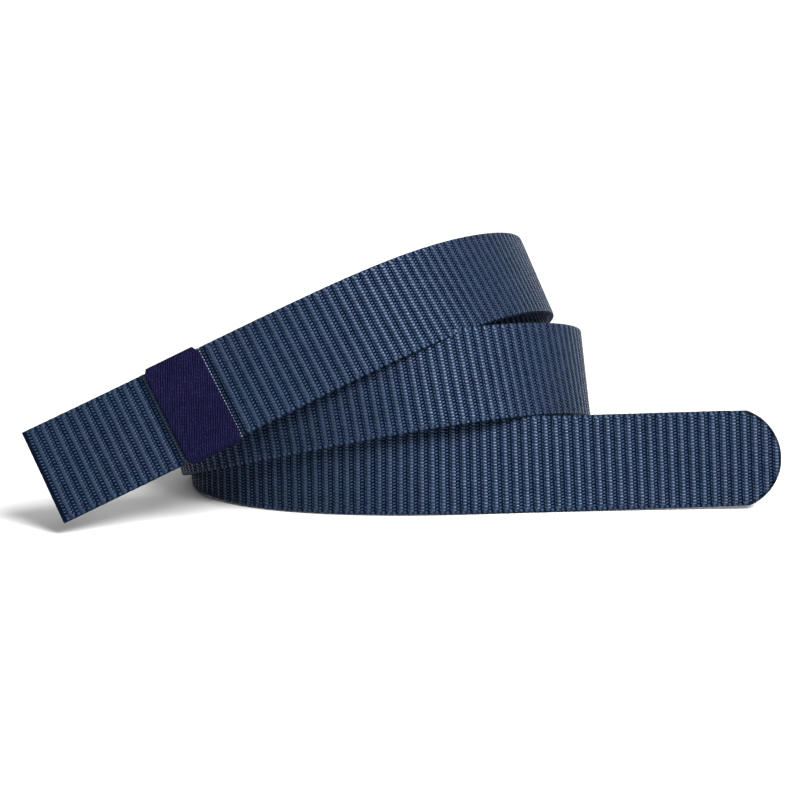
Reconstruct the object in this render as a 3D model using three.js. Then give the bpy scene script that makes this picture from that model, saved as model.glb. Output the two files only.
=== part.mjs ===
// A belt strap of woven nylon webbing, loosely coiled and standing on its long edges,
// with an elastic keeper loop round it near the square-cut end. Millimetres, +Z up.
import * as THREE from 'three';

// Webbing
const STRAP_WIDTH = 35;
const STRAP_THICK = 2;
const STRAP_LENGTH = 1194.5;
const STRAP_EDGE_CHAMFER = 0.5;
const TIP_RADIUS = 18.4;
const TIP_END_ANGLE = 4;
const TIP_SECTIONS = 10;
const SECTION_STEP = 4;

// Keeper
const KEEPER_AT = 46.4;
const KEEPER_LENGTH = 20.7;
const KEEPER_WALL = 1.1;
const KEEPER_FACE_GAP = 0.3;
const KEEPER_EDGE_GAP = 0.4;
const KEEPER_SKEW_DEG = 0.4;
const KEEPER_LAP_WIDTH = 9;
const KEEPER_LAP_STEP = 0.8;
const KEEPER_LAP_RAMP = 0.8;
const KEEPER_SECTIONS = 6;
const KEEPER_CORNER_POINTS = 4;

// How the square end leaves: its climb from level, its turn away from +X and the backward lean of the width
const START_HEIGHT = 18.7;
const START_CLIMB_DEG = 23.4;
const START_HEADING_DEG = 15.1;
const START_LEAN_DEG = 25.7;

// The coil, from the square end to the tip. at: millimetres along the strap. bend: degrees turned in 100 mm
// about the strap's width. twist: degrees turned in 100 mm about its length.
const COIL = [
  { at: 0, bend: -3.5, twist: 1.8 },
  { at: 50, bend: -5.6, twist: 5.7 },
  { at: 100, bend: 10.1, twist: -2.8 },
  { at: 150, bend: 68, twist: -5.4 },
  { at: 200, bend: 56, twist: 14.1 },
  { at: 250, bend: 77, twist: 2.9 },
  { at: 300, bend: 103.3, twist: -3.4 },
  { at: 350, bend: 85.4, twist: -0.7 },
  { at: 400, bend: 39.2, twist: -5.8 },
  { at: 450, bend: 43.9, twist: -13 },
  { at: 500, bend: 116, twist: -5 },
  { at: 550, bend: 97.6, twist: -9.7 },
  { at: 600, bend: 29.4, twist: -12.3 },
  { at: 650, bend: 57.9, twist: 0.4 },
  { at: 700, bend: 105.8, twist: 15.9 },
  { at: 750, bend: 120.2, twist: 1.4 },
  { at: 800, bend: 68.2, twist: -9.2 },
  { at: 850, bend: 37.1, twist: -16.7 },
  { at: 900, bend: 84.8, twist: -15.3 },
  { at: 950, bend: 133.2, twist: 4.7 },
  { at: 1000, bend: 87.9, twist: 5.6 },
  { at: 1050, bend: 34.4, twist: -34.3 },
  { at: 1100, bend: -18.4, twist: -9.1 },
  { at: 1150, bend: -8.6, twist: 15.8 },
  { at: 1200, bend: 8.8, twist: -3.4 },
];
const TRACE_STEP = 1;

const RADIANS = Math.PI / 180;

// The value of one column of the coil table at a place along the strap
function coilValue(column, at) {
  const next = COIL.findIndex((row) => row.at > at);
  if (next < 0) return COIL[COIL.length - 1][column];
  const a = COIL[next - 1];
  const b = COIL[next];
  return a[column] + ((b[column] - a[column]) * (at - a.at)) / (b.at - a.at);
}

// A place on the outer face: its middle p, the way along it t, the way across its width w and its outer side n
function startFrame() {
  const climb = START_CLIMB_DEG * RADIANS;
  const heading = START_HEADING_DEG * RADIANS;
  const lean = START_LEAN_DEG * RADIANS;
  const t = new THREE.Vector3(
    Math.cos(climb) * Math.cos(heading),
    Math.cos(climb) * Math.sin(heading),
    Math.sin(climb),
  );
  const level = new THREE.Vector3(0, 0, 1).addScaledVector(t, -t.z).normalize();
  const side = new THREE.Vector3().crossVectors(t, level);
  const w = level.multiplyScalar(Math.cos(lean)).addScaledVector(side, -Math.sin(lean));
  return { p: new THREE.Vector3(0, 0, START_HEIGHT), t, w, n: new THREE.Vector3().crossVectors(t, w) };
}

// Walks along the strap, bending it about its width and twisting it about its length
function traceStrap() {
  const frames = [startFrame()];
  for (let at = 0; at < STRAP_LENGTH + TRACE_STEP; at += TRACE_STEP) {
    const { p, t, w, n } = frames[frames.length - 1];
    const bend = (coilValue('bend', at + TRACE_STEP / 2) * RADIANS * TRACE_STEP) / 100;
    const twist = (coilValue('twist', at + TRACE_STEP / 2) * RADIANS * TRACE_STEP) / 100;
    const along = mix(t, Math.cos(bend / 2), n, -Math.sin(bend / 2));
    const bentN = mix(n, Math.cos(bend), t, Math.sin(bend));
    frames.push({
      p: mix(p, 1, along, TRACE_STEP),
      t: mix(t, Math.cos(bend), n, -Math.sin(bend)),
      w: mix(w, Math.cos(twist), bentN, Math.sin(twist)),
      n: mix(bentN, Math.cos(twist), w, -Math.sin(twist)),
    });
  }
  return frames;
}

function mix(a, ka, b, kb) {
  return a.clone().multiplyScalar(ka).addScaledVector(b, kb);
}

const TRACE = traceStrap();

function frameAt(at) {
  const i = Math.min(Math.floor(at / TRACE_STEP), TRACE.length - 2);
  const k = at / TRACE_STEP - i;
  const frame = {};
  for (const key of ['p', 't', 'w', 'n']) frame[key] = TRACE[i][key].clone().lerp(TRACE[i + 1][key], k);
  return frame;
}

// A point of the strap's space: along it, across its width and out from the middle of its thickness.
// The traced line runs along the outer face.
function place(at, across, out) {
  const { p, w, n } = frameAt(at);
  return p.clone().addScaledVector(w, across).addScaledVector(n, out - STRAP_THICK / 2);
}

// A closed mesh from equal rings of points, each going round anticlockwise about the way along the strap
function closedRings(rings, caps) {
  const count = rings[0].length;
  const index = [];
  for (let r = 0; r < rings.length - 1; r += 1) {
    for (let i = 0; i < count; i += 1) {
      const a = r * count + i;
      const b = r * count + ((i + 1) % count);
      index.push(a, b, a + count, b, b + count, a + count);
    }
  }
  index.push(...caps);
  const geometry = new THREE.BufferGeometry();
  geometry.setAttribute('position', new THREE.Float32BufferAttribute(rings.flat().flatMap((v) => v.toArray()), 3));
  geometry.setIndex(index);
  geometry.computeVertexNormals();
  return geometry;
}

// The strap's section, the outer half from the upper long edge to the lower one and then the inner half back
function strapRing(at, halfWidth) {
  const chamfer = Math.min(STRAP_EDGE_CHAMFER, halfWidth / 2);
  const half = STRAP_THICK / 2;
  const outerHalf = [
    [halfWidth, half - chamfer],
    [halfWidth - chamfer, half],
    [-halfWidth + chamfer, half],
    [-halfWidth, half - chamfer],
  ];
  const outer = outerHalf.map(([across, out]) => place(at, across, out));
  const inner = outerHalf.map(([across, out]) => place(at, across, -out)).reverse();
  return [...outer, ...inner];
}

// The flat end of a ring, facing along the strap or, reversed, back along it
function ringCap(first, count, reversed) {
  const cap = [];
  for (let i = 0; i < count / 2 - 1; i += 1) {
    const a = first + i;
    const d = first + count - 1 - i;
    const quad = [a, a + 1, d - 1, a, d - 1, d];
    cap.push(...(reversed ? quad.reverse() : quad));
  }
  return cap;
}

function strapGeometry() {
  const half = STRAP_WIDTH / 2;
  const edgeAngle = Math.asin(half / TIP_RADIUS);
  const tipCentre = STRAP_LENGTH - TIP_RADIUS;
  const tipStart = tipCentre + TIP_RADIUS * Math.cos(edgeAngle);
  const straight = Math.ceil(tipStart / SECTION_STEP);
  const rings = [];
  for (let i = 0; i < straight; i += 1) rings.push(strapRing((tipStart * i) / straight, half));
  for (let i = 0; i <= TIP_SECTIONS; i += 1) {
    const angle = THREE.MathUtils.lerp(edgeAngle, TIP_END_ANGLE * RADIANS, i / TIP_SECTIONS);
    rings.push(strapRing(tipCentre + TIP_RADIUS * Math.cos(angle), TIP_RADIUS * Math.sin(angle)));
  }
  const count = rings[0].length;
  const caps = [...ringCap(0, count, true), ...ringCap((rings.length - 1) * count, count, false)];
  return closedRings(rings, caps);
}

// A rounded rectangle of the keeper's section, with the sewn lap as a low step on the side that faces inwards
function keeperOutline(halfWidth, halfThick, lap) {
  const radius = halfThick * 0.9;
  const corners = [
    [1, 1, 0],
    [-1, 1, 90],
    [-1, -1, 180],
    [1, -1, 270],
  ];
  const points = [];
  for (const [sideAcross, sideOut, first] of corners) {
    for (let i = 0; i < KEEPER_CORNER_POINTS; i += 1) {
      const angle = (first + (90 * i) / (KEEPER_CORNER_POINTS - 1)) * RADIANS;
      points.push([
        sideAcross * (halfWidth - radius) + radius * Math.cos(angle),
        sideOut * (halfThick - radius) + radius * Math.sin(angle),
      ]);
    }
    if (sideAcross < 0 && sideOut < 0) {
      const out = -halfThick - lap;
      points.push([-KEEPER_LAP_WIDTH / 2, -halfThick]);
      points.push([-KEEPER_LAP_WIDTH / 2 + KEEPER_LAP_RAMP, out]);
      points.push([KEEPER_LAP_WIDTH / 2 - KEEPER_LAP_RAMP, out]);
      points.push([KEEPER_LAP_WIDTH / 2, -halfThick]);
    }
  }
  return points;
}

// Loops round the strap: an outer skin, an inner skin and a flat rim at each end
function keeperGeometry() {
  const innerWidth = STRAP_WIDTH / 2 + KEEPER_EDGE_GAP;
  const innerThick = STRAP_THICK / 2 + KEEPER_FACE_GAP;
  const outer = keeperOutline(innerWidth + KEEPER_WALL, innerThick + KEEPER_WALL, KEEPER_LAP_STEP);
  const inner = keeperOutline(innerWidth, innerThick, 0);
  const skew = Math.tan(KEEPER_SKEW_DEG * RADIANS);
  const ringAt = (outline, at) => outline.map(([across, out]) => place(at - across * skew, across, out));
  const rings = [];
  for (let i = 0; i < KEEPER_SECTIONS; i += 1) {
    rings.push(ringAt(outer, KEEPER_AT + (KEEPER_LENGTH * i) / (KEEPER_SECTIONS - 1)));
  }
  for (let i = KEEPER_SECTIONS - 1; i >= 0; i -= 1) {
    rings.push(ringAt(inner, KEEPER_AT + (KEEPER_LENGTH * i) / (KEEPER_SECTIONS - 1)));
  }
  const count = outer.length;
  const caps = [];
  const last = (rings.length - 1) * count;
  for (let i = 0; i < count; i += 1) {
    const a = last + i;
    const b = last + ((i + 1) % count);
    caps.push(a, b, i, b, (i + 1) % count, i);
  }
  return closedRings(rings, caps);
}

function piece(name, geometry, color, roughness) {
  const material = new THREE.MeshStandardMaterial({ color, roughness, metalness: 0 });
  const mesh = new THREE.Mesh(geometry, material);
  mesh.name = name;
  return mesh;
}

const belt = new THREE.Group();
belt.add(piece('webbing_strap', strapGeometry(), 0x33456a, 0.7));
belt.add(piece('elastic_keeper', keeperGeometry(), 0x1d1a44, 0.85));

// The origin is the centre of the box round the belt, on the surface that it stands on
const box = new THREE.Box3().setFromObject(belt);
const centre = box.getCenter(new THREE.Vector3());
belt.position.set(-centre.x, -centre.y, -box.min.z);
belt.updateMatrixWorld(true);

export default belt;
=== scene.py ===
import math

import bmesh
import bpy
import numpy as np
from bpy.props import FloatProperty, FloatVectorProperty, PointerProperty
from bpy.types import Operator, Panel, PropertyGroup
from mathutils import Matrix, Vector


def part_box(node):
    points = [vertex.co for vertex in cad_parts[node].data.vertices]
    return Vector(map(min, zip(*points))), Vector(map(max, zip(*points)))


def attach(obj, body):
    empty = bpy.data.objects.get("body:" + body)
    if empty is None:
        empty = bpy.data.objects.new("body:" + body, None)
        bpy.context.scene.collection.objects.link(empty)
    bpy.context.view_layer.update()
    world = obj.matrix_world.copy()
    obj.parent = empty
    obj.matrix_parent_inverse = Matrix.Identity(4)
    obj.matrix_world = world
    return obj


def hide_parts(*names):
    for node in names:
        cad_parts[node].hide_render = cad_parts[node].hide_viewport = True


bl_info = {
    "name": "Coiled Webbing Belt",
    "version": (1, 0, 0),
    "blender": (4, 5, 0),
    "location": "3D View > Sidebar > Belt",
    "description": "Dresses a coiled belt strap with ribbed webbing and an elastic keeper, and lights it",
    "category": "Object",
}

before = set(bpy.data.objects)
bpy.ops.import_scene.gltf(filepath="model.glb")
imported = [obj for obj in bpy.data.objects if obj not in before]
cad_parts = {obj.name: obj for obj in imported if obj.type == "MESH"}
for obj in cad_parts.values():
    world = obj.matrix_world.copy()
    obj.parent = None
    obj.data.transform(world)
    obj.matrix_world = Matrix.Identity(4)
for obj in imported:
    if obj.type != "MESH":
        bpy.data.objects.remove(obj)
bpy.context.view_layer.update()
MM = 0.001

# The strap's path, in millimetres and degrees, as the solid has it. bend and twist are degrees in 100 mm.
START_HEIGHT = 18.7
START_CLIMB = 23.4
START_HEADING = 15.1
START_LEAN = 25.7
COIL = (
    dict(at=0, bend=-3.5, twist=1.8),
    dict(at=50, bend=-5.6, twist=5.7),
    dict(at=100, bend=10.1, twist=-2.8),
    dict(at=150, bend=68, twist=-5.4),
    dict(at=200, bend=56, twist=14.1),
    dict(at=250, bend=77, twist=2.9),
    dict(at=300, bend=103.3, twist=-3.4),
    dict(at=350, bend=85.4, twist=-0.7),
    dict(at=400, bend=39.2, twist=-5.8),
    dict(at=450, bend=43.9, twist=-13),
    dict(at=500, bend=116, twist=-5),
    dict(at=550, bend=97.6, twist=-9.7),
    dict(at=600, bend=29.4, twist=-12.3),
    dict(at=650, bend=57.9, twist=0.4),
    dict(at=700, bend=105.8, twist=15.9),
    dict(at=750, bend=120.2, twist=1.4),
    dict(at=800, bend=68.2, twist=-9.2),
    dict(at=850, bend=37.1, twist=-16.7),
    dict(at=900, bend=84.8, twist=-15.3),
    dict(at=950, bend=133.2, twist=4.7),
    dict(at=1000, bend=87.9, twist=5.6),
    dict(at=1050, bend=34.4, twist=-34.3),
    dict(at=1100, bend=-18.4, twist=-9.1),
    dict(at=1150, bend=-8.6, twist=15.8),
    dict(at=1200, bend=8.8, twist=-3.4),
)
STRAP_WIDTH = 35
STRAP_THICK = 2
STRAP_LENGTH = 1194.5
TIP_RADIUS = 18.4
TIP_CENTRE = STRAP_LENGTH - TIP_RADIUS
# The tip's sealed rim stands a little past the solid's
TIP_PROUD = 0.3
RIM_RADIUS = TIP_RADIUS + TIP_PROUD

# Ribs counted along the strap. Past the keeper they count up; before it the weave runs the other way.
TURNED_COUNT = 500
RIB_COUNT = (
    dict(at=0, before=TURNED_COUNT + 14.685, after=TURNED_COUNT + 14.685),
    dict(at=56, before=TURNED_COUNT + 0.175, after=0.06),
    dict(at=262, before=53.436, after=53.436),
    dict(at=480, before=109.879, after=109.879),
    dict(at=770, before=185.02, after=185.02),
    dict(at=970, before=237.021, after=237.021),
    dict(at=STRAP_LENGTH, before=295.191, after=295.191),
)
# The ladders of holes on either side of the keeper, which its grip opens and which are darkened there with
# painted shade
KEEPER_LADDERS = (3.22, TURNED_COUNT + 3.22)
# Millimetres from rib to rib along the strap, and from row to row of yarn across it
RIB_PERIOD = 3.859
YARN_PITCH = 1.159

# Where the mesh has its columns within one rib, and how far the surface stands there from the strap's face:
# on the rows of yarn that lie over the ridges, and on the rows between them. The first two are in the groove.
RIB_COLUMNS = (
    dict(phase=0.19, over=-0.34, between=-0.16),
    dict(phase=0.42, over=-0.34, between=-0.18),
    dict(phase=0.66, over=0.08, between=-0.05),
    dict(phase=0.98, over=0.08, between=-0.05),
)
GROOVE_END = RIB_COLUMNS[2]["phase"]
RIDGE_END = RIB_COLUMNS[3]["phase"]
# How near a column may lie to a place in RIB_COUNT, in ribs
COLUMN_GAP = 0.06
# The columns round the tip, in degrees of its arc from the strap's far end
TIP_COLUMNS = (44, 38, 33, 28, 23, 19, 15, 11, 7.5, 4)
# Rows of points on either side of the middle, half a row of yarn apart. The inner face has each fifth one.
OUTER_HALF_ROWS = 29
INNER_HALF_ROWS = 25
INNER_ROW_STEP = 5
# Points that are this near to each other become one, in millimetres
MERGE_WITHIN = 0.004

# The selvage: its width, and the weft's loops along it, two to a rib, which stand past the solid's edge
SELVAGE_WIDTH = 1.3
SELVAGE_PROUD = 0.08
SELVAGE_BUMP = 0.09
LOOP_PHASE = 0.06
# The loops' relief on both faces, and how far in from the edge the weave's relief takes over from it
LOOP_LEVEL = -0.02
LOOP_RELIEF = 0.1
FADE_START = 0.4
FADE_WIDTH = 0.9
# The section's corners: the faces sink near the edge and end short of it, and the edge stands upright
TAPER_WIDTH = 0.5
TAPER_DEPTH = 0.15
EDGE_ROUND = 0.1
EDGE_FLAT = 0.55

# The keeper, as the solid has it: a loop round the strap, turned by a slight skew in degrees
KEEPER_AT = 46.4
KEEPER_LENGTH = 20.7
KEEPER_WALL = 1.1
KEEPER_FACE_GAP = 0.3
KEEPER_EDGE_GAP = 0.4
KEEPER_SKEW = 0.4
# Its ends lap at the back: the lap's length, its height, the length over which it rises, and the whole cut
KEEPER_LAP = 9
KEEPER_LAP_STEP = 0.8
KEEPER_LAP_RISE = 0.6
# The round of its rims, and that of its corners as a share of its half thickness
KEEPER_ROUND = 0.35
KEEPER_CORNER = 0.9
# Past this far across the strap its rims are drawn in: at its near rim, at its middle and at its far rim
KEEPER_FOLD_START = 15.8
KEEPER_FOLD_REACH = 3
KEEPER_DRAWN_IN = (1.0, 0, -1.5)
# Steps of its mesh: along the strap, round each corner and round the whole loop
KEEPER_STEPS = 26
CORNER_STEPS = 8
LOOP_STEPS = 160

# The camera as the photograph was taken: from the middle of the square end, with its slope in degrees
CAMERA_FROM_END = (122.65, -444.75, 109.45)
CAMERA_DOWN = 10.503
CAMERA_LENS = 59.986
CAMERA_SENSOR = 36

# The stage, in metres
FLOOR_SIZE = 12
FRONT_LIGHT_AT = (0.24, -0.36, 0.32)
FRONT_LIGHT_SIZE = (0.15, 0.15)
FRONT_LIGHT_AIM = (0, 0, 0.04)
# Between these directions the back wall and the ceiling grow light, and the strip at the horizon fades out
WALL_RANGE = (0.6, 0.92)
CEILING_RANGE = (0.75, 0.95)
HORIZON_RANGE = (0.04, 0.14)


def trace_strap():
    """Rows of p, t, w and n for every millimetre of the strap: its outer face's middle, the way along it,
    the way across its width and its outer side."""
    climb, heading, lean = (math.radians(v) for v in (START_CLIMB, START_HEADING, START_LEAN))
    flat = math.cos(climb)
    t = Vector((flat * math.cos(heading), flat * math.sin(heading), math.sin(climb)))
    level = (Vector((0, 0, 1)) - t * t.z).normalized()
    w = level * math.cos(lean) - t.cross(level) * math.sin(lean)
    n = t.cross(w)
    p = Vector((0, 0, START_HEIGHT))
    at_rows = [row["at"] for row in COIL]
    middles = np.arange(math.ceil(STRAP_LENGTH) + 1) + 0.5
    bends = np.radians(np.interp(middles, at_rows, [row["bend"] for row in COIL])) / 100
    twists = np.radians(np.interp(middles, at_rows, [row["twist"] for row in COIL])) / 100
    rows = [(*p, *t, *w, *n)]
    for bend, twist in zip(bends, twists):
        p = p + t * math.cos(bend / 2) - n * math.sin(bend / 2)
        bent_n = n * math.cos(bend) + t * math.sin(bend)
        t = t * math.cos(bend) - n * math.sin(bend)
        n = bent_n * math.cos(twist) - w * math.sin(twist)
        w = w * math.cos(twist) + bent_n * math.sin(twist)
        rows.append((*p, *t, *w, *n))
    return np.array(rows)


TRACE = trace_strap()


def place(at, across, out):
    """Points in millimetres: along the strap, across its width and out from the middle of its thickness."""
    at, across, out = np.broadcast_arrays(at, across, out)
    flat = at.ravel()
    row = np.stack([np.interp(flat, np.arange(len(TRACE)), column) for column in TRACE.T], axis=-1)
    p, w, n = row[:, 0:3], row[:, 6:9], row[:, 9:12]
    points = p + w * across.ravel()[:, None] + n * (out.ravel()[:, None] - STRAP_THICK / 2)
    return points.reshape(*at.shape, 3)


def half_width(at):
    """Half the strap's width at a place along it, which the round tip narrows."""
    past = np.clip(at - TIP_CENTRE, 0, RIM_RADIUS)
    return np.minimum(STRAP_WIDTH / 2, np.sqrt(RIM_RADIUS**2 - past**2))


def shift_to_frame():
    """The step from the path's own axes to the frame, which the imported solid's box gives."""
    at = np.arange(0, STRAP_LENGTH, 0.5)[:, None, None]
    across = np.array([-1, 1])[None, :, None] * half_width(at)
    out = np.array([-0.5, 0.5])[None, None, :] * STRAP_THICK
    low = place(at, across, out).reshape(-1, 3).min(axis=0)
    return np.array(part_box("webbing_strap")[0]) / MM - low


SHIFT = shift_to_frame()


def smooth_step(x):
    x = np.clip(x, 0, 1)
    return x * x * (3 - 2 * x)


def mesh_object(name, points, faces, uvs, context):
    """A smooth object with a weave UV map, from points in millimetres in the path's axes."""
    mesh = bpy.data.meshes.new(name)
    mesh.from_pydata(((points + SHIFT) * MM).tolist(), [], faces)
    layer = mesh.uv_layers.new(name="weave")
    layer.data.foreach_set("uv", np.asarray(uvs, dtype=np.float32).ravel())
    mesh.shade_smooth()
    obj = bpy.data.objects.new(name, mesh)
    context.collection.objects.link(obj)
    return obj


def tidy_mesh(obj, crease_faces=()):
    """Merges points that coincide, makes the faces point outwards and keeps some faces' edges sharp."""
    bm = bmesh.new()
    bm.from_mesh(obj.data)
    bm.faces.ensure_lookup_table()
    for i in crease_faces:
        for edge in bm.faces[i].edges:
            edge.smooth = False
    bmesh.ops.remove_doubles(bm, verts=bm.verts, dist=MERGE_WITHIN * MM)
    bmesh.ops.recalc_face_normals(bm, faces=bm.faces)
    bm.to_mesh(obj.data)
    bm.free()


def mesh_columns():
    """The places of the mesh's columns, with the rib count as seen from either side of each."""
    columns = []
    for a, b in zip(RIB_COUNT, RIB_COUNT[1:]):
        first, last = a["after"], b["before"]
        low, high = sorted((first, last))
        ribs = range(math.floor(low), math.ceil(high))
        counts = [rib + row["phase"] for rib in ribs for row in RIB_COLUMNS]
        counts = [c for c in counts if low + COLUMN_GAP < c < high - COLUMN_GAP]
        columns.append((a["at"], a["before"], first))
        for c in counts:
            at = a["at"] + (b["at"] - a["at"]) * (c - first) / (last - first)
            columns.append((at, c, c))
    end = RIB_COUNT[-1]
    for degrees in TIP_COLUMNS:
        at = TIP_CENTRE + RIM_RADIUS * math.cos(math.radians(degrees))
        count = end["before"] - (STRAP_LENGTH - at) / RIB_PERIOD
        columns.append((at, count, count))
    return np.array(sorted(columns))


def selvage_wave(counts):
    """A wave from -1 to 1 along the selvage, with a crest on each loop of the weft."""
    return np.cos(4 * math.pi * (counts - LOOP_PHASE))


def relief(count, across, edge, by_row):
    """How far the woven face stands from the smooth one. The rows of yarn differ only where by_row is true,
    and the relief gives way to the selvage's loops near the edge."""
    first, last = RIB_COLUMNS[0], RIB_COLUMNS[-1]
    phases = [last["phase"] - 1, *(row["phase"] for row in RIB_COLUMNS), first["phase"] + 1]
    heights = {}
    for key in ("over", "between"):
        values = [last[key], *(row[key] for row in RIB_COLUMNS), first[key]]
        heights[key] = np.interp(count % 1, phases, values)
    over = 0.5 + 0.5 * np.cos(2 * math.pi * across / YARN_PITCH) * by_row
    woven = heights["between"] + (heights["over"] - heights["between"]) * over
    loops = LOOP_LEVEL + LOOP_RELIEF * selvage_wave(count)
    inside = smooth_step((edge - FADE_START) / FADE_WIDTH)
    return woven * inside + loops * (1 - inside)


def taper(edge):
    """How much the faces sink near the edge."""
    near = np.clip(1 - edge / TAPER_WIDTH, 0, 1)
    return TAPER_DEPTH * near**2


class WebbingSettings(PropertyGroup):
    ridge: FloatVectorProperty(
        name="Ridge", description="Colour of the yarn on top of the ribs", subtype="COLOR",
        default=(0.0075, 0.0135, 0.028), min=0, max=1,
    )
    # The crossing yarn's colour with painted sheen: it is lighter than the ridge's because the grooves'
    # material mirrors little light
    bar_and_sheen: FloatVectorProperty(
        name="Bar", description="Colour of the yarn that crosses the grooves", subtype="COLOR",
        default=(0.031, 0.054, 0.105), min=0, max=1,
    )
    body: FloatVectorProperty(
        name="Body", description="Colour of the yarn between the ribs", subtype="COLOR",
        default=(0.0062, 0.0118, 0.0255), min=0, max=1,
    )
    # The shade and hole colours are the navy yarn darkened with painted shade, low in the grooves and deep in
    # the holes between the yarns
    shade: FloatVectorProperty(
        name="Shade", description="Colour low in the grooves", subtype="COLOR",
        default=(0.001, 0.0026, 0.009), min=0, max=1,
    )
    hole: FloatVectorProperty(
        name="Hole", description="Colour deep between the yarns", subtype="COLOR",
        default=(0.0002, 0.0007, 0.003), min=0, max=1,
    )
    # A painted glint: small bright spots of light on the yarn beside the keeper's near ladder
    painted_glint: FloatVectorProperty(
        name="Strained", description="Colour of the small bright loops that the keeper's grip pulls open",
        subtype="COLOR", default=(0.3, 0.33, 0.38), min=0, max=1,
    )
    melted: FloatVectorProperty(
        name="Melted", description="Colour of the tip's sealed rim", subtype="COLOR",
        default=(0.03, 0.036, 0.04), min=0, max=1,
    )
    relief: FloatProperty(
        name="Relief", description="Depth of the weave against the real one",
        default=1, min=0, max=2, subtype="FACTOR",
    )
    roughness: FloatProperty(
        name="Roughness", description="Roughness of the yarn", default=0.39, min=0, max=1, subtype="FACTOR",
    )
    sheen: FloatProperty(
        name="Sheen", description="How much the ridges mirror the light",
        default=0.88, min=0, max=1, subtype="FACTOR",
    )
    groove_sheen: FloatProperty(
        name="Groove sheen", description="How much the grooves mirror the light",
        default=0.18, min=0, max=1, subtype="FACTOR",
    )
    sheen_tint: FloatVectorProperty(
        name="Sheen tint", description="Colour of the light that the ridges mirror", subtype="COLOR",
        default=(0.46, 0.65, 1), min=0, max=1,
    )
    groove_tint: FloatVectorProperty(
        name="Groove tint", description="Colour of the light that the grooves mirror", subtype="COLOR",
        default=(0.28, 0.54, 1), min=0, max=1,
    )


class KeeperSettings(PropertyGroup):
    base: FloatVectorProperty(
        name="Base", description="Colour of the elastic", subtype="COLOR",
        default=(0.0002, 0.0002, 0.0045), min=0, max=1,
    )
    stroke: FloatVectorProperty(
        name="Stroke", description="Colour of the raised twill lines", subtype="COLOR",
        default=(0.0125, 0.012, 0.0455), min=0, max=1,
    )
    pitch: FloatProperty(
        name="Pitch", description="Millimetres from one twill line to the next",
        default=0.815, min=0.2, max=4,
    )


class StageSettings(PropertyGroup):
    floor: FloatVectorProperty(
        name="Floor", description="Colour of the floor", subtype="COLOR",
        default=(0.76, 0.76, 0.76), min=0, max=1,
    )
    key: FloatProperty(name="Key light", description="Strength of the far light", default=5.2, min=0)
    key_angle: FloatProperty(
        name="Key angle", description="How far to the right of the camera the key light hangs",
        default=math.radians(47), subtype="ANGLE",
    )
    key_height: FloatProperty(
        name="Key height", description="How high over the horizon the key light hangs",
        default=math.radians(47), subtype="ANGLE",
    )
    key_spread: FloatProperty(
        name="Key spread", description="How wide the key light looks, which softens its shadows",
        default=math.radians(28), min=0, subtype="ANGLE",
    )
    fill: FloatProperty(
        name="Front light", description="Power of the front light", default=1.1, min=0, unit="POWER",
    )
    back: FloatProperty(
        name="Back wall", description="Brightness of the room behind the belt", default=1.8, min=0,
    )
    ceiling: FloatProperty(
        name="Ceiling", description="Brightness of the room overhead", default=1.5, min=0,
    )
    horizon: FloatProperty(
        name="Horizon", description="Brightness of the room round the horizon", default=1.05, min=0,
    )


# How much the bumps turn the surface, against their real slopes
BUMP_STRENGTH = 0.8


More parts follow.
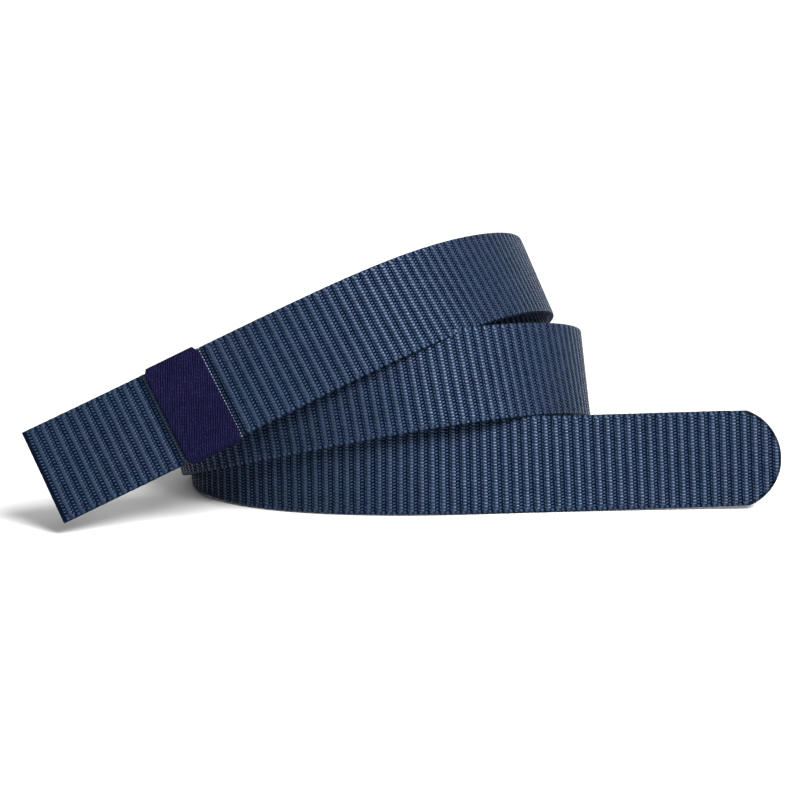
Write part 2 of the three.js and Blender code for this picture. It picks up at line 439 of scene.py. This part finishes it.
class Nodes:
    """Adds nodes to a material or a world and joins them up."""

    def __init__(self, owner):
        owner.use_nodes = True
        self.owner = owner
        self.tree = owner.node_tree

    def put(self, node, key, value):
        socket = node.inputs[key]
        if isinstance(value, bpy.types.NodeSocket):
            self.tree.links.new(value, socket)
        else:
            socket.default_value = value

    def math(self, operation, *values, clamp=False):
        node = self.tree.nodes.new("ShaderNodeMath")
        node.operation = operation
        node.use_clamp = clamp
        for i, value in enumerate(values):
            self.put(node, i, value)
        return node.outputs[0]

    def map_range(self, value, low, high, at_low, at_high):
        node = self.tree.nodes.new("ShaderNodeMapRange")
        self.put(node, "Value", value)
        limits = {"From Min": low, "From Max": high, "To Min": at_low, "To Max": at_high}
        for key, limit in limits.items():
            self.put(node, key, limit)
        return node.outputs[0]

    def ramp(self, value, stops, smooth=True):
        """A colour or a lightness by value, from stops of a place and what is there."""
        node = self.tree.nodes.new("ShaderNodeValToRGB")
        node.color_ramp.interpolation = "EASE" if smooth else "LINEAR"
        elements = node.color_ramp.elements
        while len(elements) < len(stops):
            elements.new(0.5)
        for element, (position, colour) in zip(elements, stops):
            element.position = position
            element.color = self.with_alpha(colour)
        self.put(node, "Fac", value)
        return node.outputs["Color"]

    def mix(self, factor, a, b, blend="MIX"):
        """One colour blended into another."""
        node = self.tree.nodes.new("ShaderNodeMix")
        node.data_type = "RGBA"
        node.blend_type = blend
        self.put(node, "Factor", factor)
        for key, value in (("A", a), ("B", b)):
            socket = [s for s in node.inputs if s.name == key and s.type == "RGBA"][0]
            if isinstance(value, bpy.types.NodeSocket):
                self.tree.links.new(value, socket)
            else:
                socket.default_value = self.with_alpha(value)
        return [s for s in node.outputs if s.type == "RGBA"][0]

    @staticmethod
    def with_alpha(colour):
        """Four numbers from a colour, or from a grey given as one number."""
        return (*colour, 1) if hasattr(colour, "__len__") else (colour, colour, colour, 1)

    def blend(self, factor, a, b):
        """a + (b - a) * factor, for numbers."""
        return self.math("MULTIPLY_ADD", self.math("SUBTRACT", b, a), factor, a)

    def darken(self, value, mask, amount):
        """A value less a share of itself where the mask is 1."""
        return self.math("MULTIPLY", value, self.math("MULTIPLY_ADD", mask, -amount, 1))

    def past(self, value, edge, steepness):
        """0 up to an edge and then rising to 1."""
        return self.math("MULTIPLY", self.math("SUBTRACT", value, edge), steepness, clamp=True)

    def weave_place(self):
        """The two numbers of the weave UV map."""
        uv = self.tree.nodes.new("ShaderNodeUVMap")
        uv.uv_map = "weave"
        return self.split(uv.outputs[0])[:2]

    def split(self, vector):
        node = self.tree.nodes.new("ShaderNodeSeparateXYZ")
        self.put(node, 0, vector)
        return node.outputs[:]

    def vector(self, x, y, z=0.0):
        node = self.tree.nodes.new("ShaderNodeCombineXYZ")
        for i, value in enumerate((x, y, z)):
            self.put(node, i, value)
        return node.outputs[0]

    def noise(self, scale, detail=2.0, vector=None):
        """Smooth noise from 0 to 1, in the object's own space where no place is given."""
        node = self.tree.nodes.new("ShaderNodeTexNoise")
        self.put(node, "Scale", scale)
        self.put(node, "Detail", detail)
        if vector is None:
            coordinates = self.tree.nodes.new("ShaderNodeTexCoord")
            vector = coordinates.outputs["Object"]
        self.put(node, "Vector", vector)
        return node.outputs["Fac"]

    def grain(self, x, y, along, across, layer=0.0, detail=1):
        """Smooth noise over the weave, with its fineness along and across the strap, one pattern a layer."""
        spot = self.vector(self.math("MULTIPLY", x, along), self.math("MULTIPLY", y, across), layer)
        return self.noise(1, detail, spot)

    def white_noise(self, dimensions, key, spot):
        """One number from 0 to 1 for each spot."""
        node = self.tree.nodes.new("ShaderNodeTexWhiteNoise")
        node.noise_dimensions = dimensions
        self.put(node, key, spot)
        return node.outputs["Value"]

    def mottle(self, colour, fineness, contrast, tints):
        """A colour that drifts in patches between two slight tints."""
        patches = self.math("SUBTRACT", self.noise(fineness, 1), 0.5)
        patches = self.math("MULTIPLY_ADD", patches, contrast, 0.5, clamp=True)
        return self.mix(1, colour, self.mix(patches, *tints), "MULTIPLY")

    def surface(self, colour, roughness, specular, tint=(1, 1, 1), height=0, distance=0.0):
        """Fills in the material's surface, with small bumps where a distance is given."""
        surface = self.tree.nodes["Principled BSDF"]
        self.put(surface, "Base Color", colour)
        self.put(surface, "Roughness", roughness)
        self.put(surface, "Specular IOR Level", specular)
        self.put(surface, "Specular Tint", (*tint, 1))
        if distance:
            node = self.tree.nodes.new("ShaderNodeBump")
            self.put(node, "Height", height)
            self.put(node, "Distance", distance)
            self.put(node, "Strength", BUMP_STRENGTH)
            self.put(surface, "Normal", node.outputs[0])


# Bumps that are too small for the mesh, in millimetres
WEAVE_BUMP = 0.16
ELASTIC_BUMP = 0.15

# Lightness along a rib, from 0 in a hole to 1 on a ridge: on the rows over the ridges, and between them. The
# low values are the navy yarn darkened with painted shade in the holes and grooves.
OVER_ROWS = (
    (0.0, 0.55), (0.05, 0.0), (0.38, 0.0), (0.44, 0.4), (0.5, 0.9),
    (0.56, 0.7), (0.61, 0.5), (0.68, 0.75), (0.78, 1.0), (0.93, 0.95),
)
BETWEEN_ROWS = (
    (0.0, 0.38), (0.07, 0.5), (0.15, 1.0), (0.28, 1.0), (0.35, 0.4), (0.4, 0.12), (0.46, 0.25),
    (0.53, 0.42), (0.61, 0.27), (0.7, 0.32), (0.82, 0.43), (0.93, 0.36),
)
# Lightness along half a rib, where the weft turns round in small loops at the selvage
SELVAGE_LOOPS = ((0.0, 0.25), (0.2, 0.8), (0.5, 0.85), (0.72, 0.25), (0.95, 0.15))
# How far the rows of yarn slip sideways along one rib, in rows
ROW_SLIP = ((0.0, 0.0), (0.4, 0.32), (0.56, 0.32), (0.66, 0.0))
# How far the ribs and the rows of yarn wander about their places, in ribs and in rows
RIB_WANDER = 0.12
ROW_WANDER = 0.3
# Lightness of one float of yarn against another: the least, what chance adds, and what slow clouds add
FLOAT_LEAST = 0.72
FLOAT_CHANCE = 0.36
FLOAT_CLOUDS = 0.24
# How much the weave darkens: painted shade at its brink, by the tip's rim and beside the keeper, and the
# darker sealed square end
BRINK_SHADE = 0.6
END_SHADE = 0.88
RIM_SHADE = 0.65
KEEPER_SIDE_SHADE = 0.28
# Millimetres from the edge that the painted shade at the brink, the painted shade by the tip's rim and the
# melted rim reach
BRINK_WIDTH = 0.25
RIM_SHADE_WIDTH = 1.2
RIM_WIDTH = 0.45
# Slight tints that the yarn's and the elastic's colours drift between
YARN_TINTS = ((0.88, 1.02, 1), (1.15, 0.97, 1.03))
ELASTIC_TINTS = ((0.8, 0.9, 0.95), (1.25, 1.05, 1.1))


def woven_level(s, x, y):
    """The lightness of the weave, the wave of its rows of yarn and how far they drift."""
    wander = s.math("SUBTRACT", s.grain(x, y, 0.7, 0.25, 3), 0.5)
    phase = s.math("FRACT", s.math("MULTIPLY_ADD", wander, RIB_WANDER, x))
    drift = s.grain(x, y, 0.9, 0.6, 7)
    slip = s.ramp(phase, ROW_SLIP, smooth=False)
    yarn_y = s.math("SUBTRACT", s.math("MULTIPLY_ADD", drift, ROW_WANDER, y), slip)
    row = s.math("COSINE", s.math("MULTIPLY", yarn_y, 2 * math.pi))
    over = s.math("MULTIPLY_ADD", row, 1.15, 0.62, clamp=True)
    level = s.blend(over, s.ramp(phase, BETWEEN_ROWS), s.ramp(phase, OVER_ROWS))
    return level, row, drift


def tip_rim(s, x, sideways):
    """Millimetres inwards from the tip's rim, and a mask of the tip."""
    tip_x = RIB_COUNT[-1]["before"] - TIP_RADIUS / RIB_PERIOD
    beyond = s.math("MULTIPLY", s.math("SUBTRACT", x, tip_x), RIB_PERIOD)
    squares = s.math("ADD", s.math("MULTIPLY", beyond, beyond), s.math("MULTIPLY", sideways, sideways))
    to_rim = s.math("SUBTRACT", RIM_RADIUS, s.math("SQRT", squares))
    not_turned = s.math("LESS_THAN", x, TURNED_COUNT - 1)
    return to_rim, s.math("MULTIPLY", s.math("GREATER_THAN", beyond, 0), not_turned)


def webbing_material(name, settings, lightest, sheen, tint):
    """Ribbed nylon webbing: ridges of yarn floats, ladders of holes darkened with painted shade, bumpy
    selvages and sealed ends.
    """
    s = Nodes(bpy.data.materials.new(name))
    x, y = s.weave_place()
    level, row, drift = woven_level(s, x, y)

    sideways = s.math("MULTIPLY", y, YARN_PITCH)
    from_middle = s.math("ABSOLUTE", sideways)
    half_rib = s.math("FRACT", s.math("MULTIPLY", x, 2))
    selvage = s.past(from_middle, STRAP_WIDTH / 2 - SELVAGE_WIDTH, 4)
    level = s.blend(selvage, level, s.ramp(half_rib, SELVAGE_LOOPS))
    # Painted shade: a thin dark band along both edges of the strap
    level = s.darken(level, s.past(from_middle, STRAP_WIDTH / 2 - BRINK_WIDTH, 4), BRINK_SHADE)

    # Painted shade beside the keeper: its ladders are darkened on both sides, where its grip also opens the
    # holes
    by_keeper = s.math("ADD", *(s.math("COMPARE", x, ladder, 0.25) for ladder in KEEPER_LADDERS))
    level = s.math("MULTIPLY_ADD", by_keeper, -KEEPER_SIDE_SHADE, level, clamp=True)
    # Painted glints: bright spots on the rows of yarn beside the first ladder by the keeper, of random
    # strength
    painted_glint = s.math("COMPARE", x, KEEPER_LADDERS[0] - 0.27, 0.06)
    painted_glint = s.math("MULTIPLY", s.math("MULTIPLY", painted_glint, s.math("GREATER_THAN", row, 0.2)), drift)

    ragged = s.noise(1, 2, s.vector(0, y, 5))
    end_x = s.math("MULTIPLY_ADD", ragged, 0.2, RIB_COUNT[0]["after"] - 0.4)
    level = s.darken(level, s.past(x, end_x, 12), END_SHADE)
    to_rim, in_tip = tip_rim(s, x, sideways)
    # Painted shade: a dark band just inside the tip's melted rim
    by_rim = s.math("MULTIPLY", s.past(RIM_SHADE_WIDTH, to_rim, 2.5), in_tip)
    level = s.darken(level, by_rim, RIM_SHADE)
    rim = s.math("MULTIPLY", s.past(RIM_WIDTH, to_rim, 5), in_tip)

    one_float = s.vector(s.math("FLOOR", s.math("MULTIPLY", x, 2)), s.math("ROUND", y))
    varied = s.math("MULTIPLY_ADD", s.white_noise("2D", "Vector", one_float), FLOAT_CHANCE, FLOAT_LEAST)
    varied = s.math("MULTIPLY_ADD", s.noise(60), FLOAT_CLOUDS, varied)
    level = s.math("MULTIPLY", level, varied, clamp=True)
    # The lowest lightness uses the hole and shade colours, which paint shade into the holes and grooves
    colours = ((0, settings.hole), (0.25, settings.shade), (0.55, settings.body), (1, lightest))
    colour = s.ramp(level, colours, smooth=False)
    fibres = s.grain(x, y, 3, 9, detail=3)
    colour = s.mix(s.math("MULTIPLY", fibres, 0.25), colour, settings.shade)
    colour = s.mottle(colour, 70, 2.5, YARN_TINTS)
    colour = s.mix(painted_glint, colour, settings.painted_glint)
    colour = s.mix(rim, colour, settings.melted)

    roughness = s.blend(s.past(level, 0.3, 2.5), 1.0, settings.roughness)
    height = s.math("MULTIPLY_ADD", fibres, 0.25, s.math("MULTIPLY_ADD", row, 0.5, level))
    s.surface(colour, roughness, sheen, tint, height, WEAVE_BUMP * MM * settings.relief)
    return s.owner


# The elastic's twill: the cosine and sine of its slant, its strokes to a millimetre and its lines' wander
TWILL_SLANT = (0.906, 0.423)
TWILL_STROKES = 0.75
TWILL_WANDER = 0.8


def elastic_material(settings):
    """Fine woven elastic with short, broken twill strokes."""
    s = Nodes(bpy.data.materials.new("woven_elastic"))
    x, y = s.weave_place()
    wander = s.grain(x, y, 0.3, 0.12)
    cosine, sine = TWILL_SLANT
    side = s.math("MULTIPLY_ADD", x, cosine, s.math("MULTIPLY", y, sine))
    side = s.math("DIVIDE", s.math("MULTIPLY_ADD", wander, TWILL_WANDER, side), settings.pitch)
    along = s.math("MULTIPLY_ADD", y, cosine, s.math("MULTIPLY", x, -sine))
    line = s.math("FLOOR", side)
    start = s.math("MULTIPLY", s.white_noise("1D", "W", line), 5)
    step = s.math("MULTIPLY_ADD", along, TWILL_STROKES, start)
    light = s.white_noise("2D", "Vector", s.vector(line, s.math("FLOOR", step)))
    stroke = s.math("SINE", s.math("MULTIPLY", s.math("FRACT", side), math.pi))
    dash = s.math("SINE", s.math("MULTIPLY", s.math("FRACT", step), math.pi))
    level = s.math("MULTIPLY", s.math("POWER", stroke, 1.5), s.math("MULTIPLY_ADD", dash, 0.45, 0.55))
    level = s.math("MULTIPLY", level, s.math("MULTIPLY_ADD", light, 0.5, 0.65), clamp=True)
    colour = s.mix(level, settings.base, settings.stroke)
    colour = s.mottle(colour, 90, 2, ELASTIC_TINTS)
    s.surface(colour, 0.85, 0.02, height=level, distance=ELASTIC_BUMP * MM)
    return s.owner


def floor_material(settings):
    """Pale matt paper with a faint mottle."""
    s = Nodes(bpy.data.materials.new("pale_floor"))
    darker = [c * 0.985 for c in settings.floor]
    s.surface(s.mix(s.noise(6), settings.floor, darker), 0.9, 0.5)
    return s.owner


def strap_rings(at, counts, depth):
    """Where the mesh's points lie in each column, across the strap and out from its middle: down the
    outer face, round the lower edge, up the inner face and round the upper edge."""
    outer_rows = np.arange(OUTER_HALF_ROWS, -OUTER_HALF_ROWS - 1, -1) * YARN_PITCH / 2
    inner_rows = np.arange(-INNER_HALF_ROWS, INNER_HALF_ROWS + 1, INNER_ROW_STEP) * YARN_PITCH / 2
    half = half_width(at)[:, None]
    face_end = half - EDGE_ROUND
    loops = SELVAGE_PROUD + SELVAGE_BUMP * selvage_wave(counts)
    brink = half + (loops * (at < TIP_CENTRE))[:, None]
    past_centre = np.clip(at - TIP_CENTRE, 0, None)[:, None]
    rings = []
    for rows, side in ((outer_rows, 1), (inner_rows, -1)):
        between = np.clip(rows, -face_end, face_end)
        across = np.concatenate([side * face_end, between, -side * face_end], axis=1)
        to_side = half - np.abs(across)
        to_tip = RIM_RADIUS - np.hypot(past_centre, across)
        edge = np.where(past_centre > 0, np.minimum(to_side, to_tip), np.minimum(to_side, at[:, None]))
        out = STRAP_THICK / 2 + depth * relief(counts[:, None], across, edge, side > 0) - taper(edge)
        rings.append((across, side * out))
        for height in (EDGE_FLAT, -EDGE_FLAT):
            rings.append((-side * brink, np.full((len(at), 1), side * height)))
    return [np.concatenate(parts, axis=1) for parts in zip(*rings)]


def strap_faces(before, after, yarn):
    """The faces between the columns and over the two ends, with the weave's place at each corner."""
    count = yarn.shape[1]
    faces, uvs = [], []
    for i in range(len(yarn) - 1):
        x0, x1 = after[i], before[i + 1]
        here, there = i * count, (i + 1) * count
        for j in range(count):
            k = (j + 1) % count
            faces.append((here + j, here + k, there + k, there + j))
            uvs += [(x0, yarn[i, j]), (x0, yarn[i, k]), (x1, yarn[i + 1, k]), (x1, yarn[i + 1, j])]
    last = (len(yarn) - 1) * count
    faces.append(tuple(range(count)))
    uvs += [(after[0], yarn[0, j]) for j in range(count)]
    faces.append(tuple(last + j for j in reversed(range(count))))
    uvs += [(before[-1], yarn[-1, j]) for j in reversed(range(count))]
    return faces, uvs


class BELT_OT_webbing(Operator):
    """Builds the woven strap from its square end to its round tip"""

    bl_idname = "belt.webbing"
    bl_label = "Woven strap"

    def execute(self, context):
        settings = context.scene.belt_webbing
        at, before, after = mesh_columns().T
        across, out = strap_rings(at, after, settings.relief)
        points = place(at[:, None], across, out)
        faces, uvs = strap_faces(before, after, across / YARN_PITCH)
        strap = mesh_object("woven_strap", points.reshape(-1, 3), faces, uvs, context)
        # The grooves' material mirrors little light, so its lightest colour is the crossing yarn's colour
        # with painted sheen
        for name, lightest, sheen, tint in (
            ("ribbed_nylon_webbing", settings.ridge, settings.sheen, settings.sheen_tint),
            ("webbing_grooves", settings.bar_and_sheen, settings.groove_sheen, settings.groove_tint),
        ):
            strap.data.materials.append(webbing_material(name, settings, lightest, sheen, tint))
        middle = (after[:-1] + before[1:]) / 2 % 1
        grooves = (middle < GROOVE_END) | (middle > RIDGE_END)
        in_grooves = np.append(np.repeat(grooves, across.shape[1]), (True, True))
        strap.data.polygons.foreach_set("material_index", in_grooves.astype(np.int32))
        tidy_mesh(strap, (len(faces) - 2, len(faces) - 1))
        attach(strap, "root")
        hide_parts("webbing_strap")
        return {"FINISHED"}


def keeper_section():
    """The keeper's wall cut along the strap, as places along it and depths under its outer side: over the
    near rim, along the outer side, over the far rim and back along the inner side."""
    near = []
    for degrees in (90, 60, 30, 0):
        turn = math.radians(degrees)
        near.append((KEEPER_ROUND * (1 - math.sin(turn)), -KEEPER_ROUND * (1 - math.cos(turn))))
    straight = KEEPER_LENGTH - 2 * KEEPER_ROUND
    outer = [(KEEPER_ROUND + straight * i / KEEPER_STEPS, 0) for i in range(1, KEEPER_STEPS)]
    far = [(KEEPER_LENGTH - along, depth) for along, depth in reversed(near)]
    inner = [(KEEPER_LENGTH, -KEEPER_WALL), (KEEPER_LENGTH / 2, -KEEPER_WALL), (0, -KEEPER_WALL)]
    return near + outer + far + inner


def loop_outline(half_across, half_out, lap):
    """Points evenly spaced round the keeper, and how far round it each is. A lap raises them at the back."""
    corner = KEEPER_CORNER * half_out
    corners = []
    for side, face, first in ((1, 1, 0), (-1, 1, 90), (-1, -1, 180), (1, -1, 270)):
        for step in range(CORNER_STEPS + 1):
            angle = math.radians(first + 90 * step / CORNER_STEPS)
            corners.append((
                side * (half_across - corner) + corner * math.cos(angle),
                face * (half_out - corner) + corner * math.sin(angle),
            ))
    corners.append(corners[0])
    corners = np.array(corners)
    lengths = np.concatenate([[0], np.cumsum(np.hypot(*np.diff(corners, axis=0).T))])
    around = np.linspace(0, lengths[-1], LOOP_STEPS, endpoint=False)
    points = np.stack([np.interp(around, lengths, corners[:, i]) for i in (0, 1)], axis=-1)
    reach = (KEEPER_LAP + KEEPER_LAP_RISE) / 2
    lapped = smooth_step((reach - np.abs(points[:, 0])) / KEEPER_LAP_RISE)
    points[:, 1] -= np.where(points[:, 1] < 0, lap * lapped, 0)
    return points, around


def keeper_faces(places):
    """The faces all round the keeper's wall, with the place along and round it at each corner."""
    rings, count = len(places), len(places[0])
    faces, uvs = [], []
    for i in range(rings):
        n = (i + 1) % rings
        for j in range(count):
            k = (j + 1) % count
            faces.append((i * count + j, n * count + j, n * count + k, i * count + k))
            for ring, spot in ((i, j), (n, j), (n, k), (i, k)):
                along, around = places[ring][spot]
                if k == 0 and spot == 0:
                    around += places[ring][-1][1] * count / (count - 1)
                uvs.append((along, around))
    return faces, uvs


class BELT_OT_keeper(Operator):
    """Builds the elastic keeper round the strap, with its ends lapped at the back"""

    bl_idname = "belt.keeper"
    bl_label = "Elastic keeper"

    def execute(self, context):
        settings = context.scene.belt_keeper
        inner_across = STRAP_WIDTH / 2 + KEEPER_EDGE_GAP
        inner_out = STRAP_THICK / 2 + KEEPER_FACE_GAP
        skew = math.tan(math.radians(KEEPER_SKEW))
        rings, places = [], []
        for along, depth in keeper_section():
            grow = KEEPER_WALL + depth
            lap = KEEPER_LAP_STEP if depth > -KEEPER_WALL else 0
            outline, around = loop_outline(inner_across + grow, inner_out + grow, lap)
            folded = smooth_step((np.abs(outline[:, 0]) - KEEPER_FOLD_START) / KEEPER_FOLD_REACH)
            drawn_in = folded * np.interp(along, (0, KEEPER_LENGTH / 2, KEEPER_LENGTH), KEEPER_DRAWN_IN)
            at = KEEPER_AT + along + drawn_in - outline[:, 0] * skew
            rings.append(place(at, outline[:, 0], outline[:, 1]))
            places.append(np.stack([np.full(len(outline), along), around], axis=-1))
        faces, uvs = keeper_faces(places)
        keeper = mesh_object("keeper_band", np.array(rings).reshape(-1, 3), faces, uvs, context)
        tidy_mesh(keeper)
        keeper.data.materials.append(elastic_material(settings))
        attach(keeper, "root")
        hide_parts("elastic_keeper")
        return {"FINISHED"}


def aim(obj, target):
    direction = Vector(target) - obj.location
    obj.rotation_euler = direction.to_track_quat("-Z", "Y").to_euler()


def front_light(context, power):
    """A small soft light in front of the belt, above the camera and to its right."""
    data = bpy.data.lights.new("front_light", "AREA")
    data.shape = "RECTANGLE"
    data.size, data.size_y = FRONT_LIGHT_SIZE
    data.energy = power
    lamp = bpy.data.objects.new("front_light", data)
    lamp.location = FRONT_LIGHT_AT
    context.collection.objects.link(lamp)
    aim(lamp, FRONT_LIGHT_AIM)


def key_light(context, settings):
    """A far, soft light, to the right of the camera and over the horizon."""
    angle, height = settings.key_angle, settings.key_height
    data = bpy.data.lights.new("key_light", "SUN")
    data.energy = settings.key
    data.angle = settings.key_spread
    lamp = bpy.data.objects.new("key_light", data)
    lamp.location = (
        math.sin(angle) * math.cos(height),
        -math.cos(angle) * math.cos(height),
        math.sin(height),
    )
    context.collection.objects.link(lamp)
    aim(lamp, (0, 0, 0))


def studio_world(settings):
    """A room with a white wall behind the belt, a white ceiling and a pale strip round the horizon."""
    s = Nodes(bpy.data.worlds.new("studio"))
    coordinates = s.tree.nodes.new("ShaderNodeTexCoord")
    _, y, z = s.split(coordinates.outputs["Generated"])
    wall = s.map_range(y, *WALL_RANGE, 0, settings.back)
    ceiling = s.map_range(z, *CEILING_RANGE, 0, settings.ceiling)
    horizon = s.map_range(z, *HORIZON_RANGE, settings.horizon, 0)
    background = s.tree.nodes["Background"]
    s.put(background, "Color", (1, 1, 1, 1))
    s.put(background, "Strength", s.math("ADD", s.math("ADD", wall, ceiling), horizon))
    return s.owner


def photo_camera(context):
    """The camera, where the photograph was taken from."""
    data = bpy.data.cameras.new("camera")
    data.lens = CAMERA_LENS
    data.sensor_width = CAMERA_SENSOR
    camera = bpy.data.objects.new("camera", data)
    end = TRACE[0, :3] + SHIFT
    camera.location = Vector(end + np.array(CAMERA_FROM_END)) * MM
    camera.rotation_euler = (math.radians(90 - CAMERA_DOWN), 0, 0)
    context.collection.objects.link(camera)
    context.scene.camera = camera


class BELT_OT_stage(Operator):
    """Lays the pale floor, hangs the soft lights and sets up the camera"""

    bl_idname = "belt.stage"
    bl_label = "Floor, lights and camera"

    def execute(self, context):
        settings = context.scene.belt_stage
        bpy.ops.mesh.primitive_plane_add(size=FLOOR_SIZE, location=(0, 0, 0))
        floor = context.object
        floor.name = "floor"
        floor.data.materials.append(floor_material(settings))
        key_light(context, settings)
        front_light(context, settings.fill)
        context.scene.world = studio_world(settings)
        context.scene.view_settings.view_transform = "Standard"
        photo_camera(context)
        return {"FINISHED"}


class BELT_PT_sidebar(Panel):
    """Lists the belt's pieces and settings in the sidebar"""

    bl_label = "Coiled belt"
    bl_space_type = "VIEW_3D"
    bl_region_type = "UI"
    bl_category = "Belt"

    def draw(self, context):
        scene = context.scene
        for group in (scene.belt_webbing, scene.belt_keeper, scene.belt_stage):
            box = self.layout.box()
            for key in group.bl_rna.properties.keys():
                if key not in ("rna_type", "name"):
                    box.prop(group, key)
        for operator in (BELT_OT_webbing, BELT_OT_keeper, BELT_OT_stage):
            self.layout.operator(operator.bl_idname)


CLASSES = (
    WebbingSettings,
    KeeperSettings,
    StageSettings,
    BELT_OT_webbing,
    BELT_OT_keeper,
    BELT_OT_stage,
    BELT_PT_sidebar,
)


def register():
    for cls in CLASSES:
        bpy.utils.register_class(cls)
    bpy.types.Scene.belt_webbing = PointerProperty(type=WebbingSettings)
    bpy.types.Scene.belt_keeper = PointerProperty(type=KeeperSettings)
    bpy.types.Scene.belt_stage = PointerProperty(type=StageSettings)


def unregister():
    del bpy.types.Scene.belt_stage
    del bpy.types.Scene.belt_keeper
    del bpy.types.Scene.belt_webbing
    for cls in reversed(CLASSES):
        bpy.utils.unregister_class(cls)


def main():
    register()
    bpy.ops.belt.webbing()
    bpy.ops.belt.keeper()
    bpy.ops.belt.stage()


if __name__ == "__main__":
    main()
